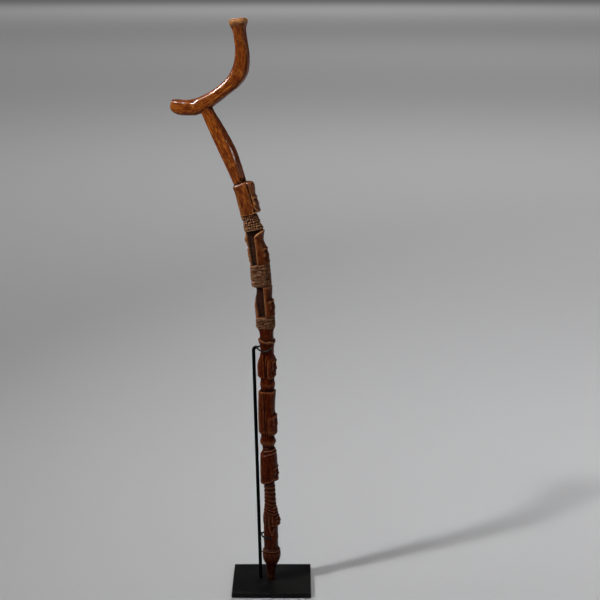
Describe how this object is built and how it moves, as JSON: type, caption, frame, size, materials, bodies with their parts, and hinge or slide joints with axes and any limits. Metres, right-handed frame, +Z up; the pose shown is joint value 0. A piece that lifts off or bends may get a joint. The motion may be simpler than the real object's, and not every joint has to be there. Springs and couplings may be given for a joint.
{
  "type": "ceremonial staff",
  "caption": "Carved hardwood crook staff with stacked stylised heads, bands and collars, standing in a black steel display stand with a rod and wire cradles.",
  "frame": {"origin": "centre of the base plate's underside", "axes": "+Z up along the staff, X along the plate's long side, the crook reaching towards -X, the carved faces looking along +X turned 16 degrees towards -Y"},
  "size_m": [0.2365, 0.111, 0.9961],
  "materials": {
    "carved_wood": "old hand-polished dark red-brown hardwood, darker and duller in the recesses",
    "black_steel": "satin black"
  },
  "bodies": {
    "root": {"carved_staff": "carved_wood", "base_plate": "black_steel", "support_rod": "black_steel", "upper_cradle": "black_steel", "lower_cradle": "black_steel", "rest_pin": "black_steel"}
  },
  "joints": []
}
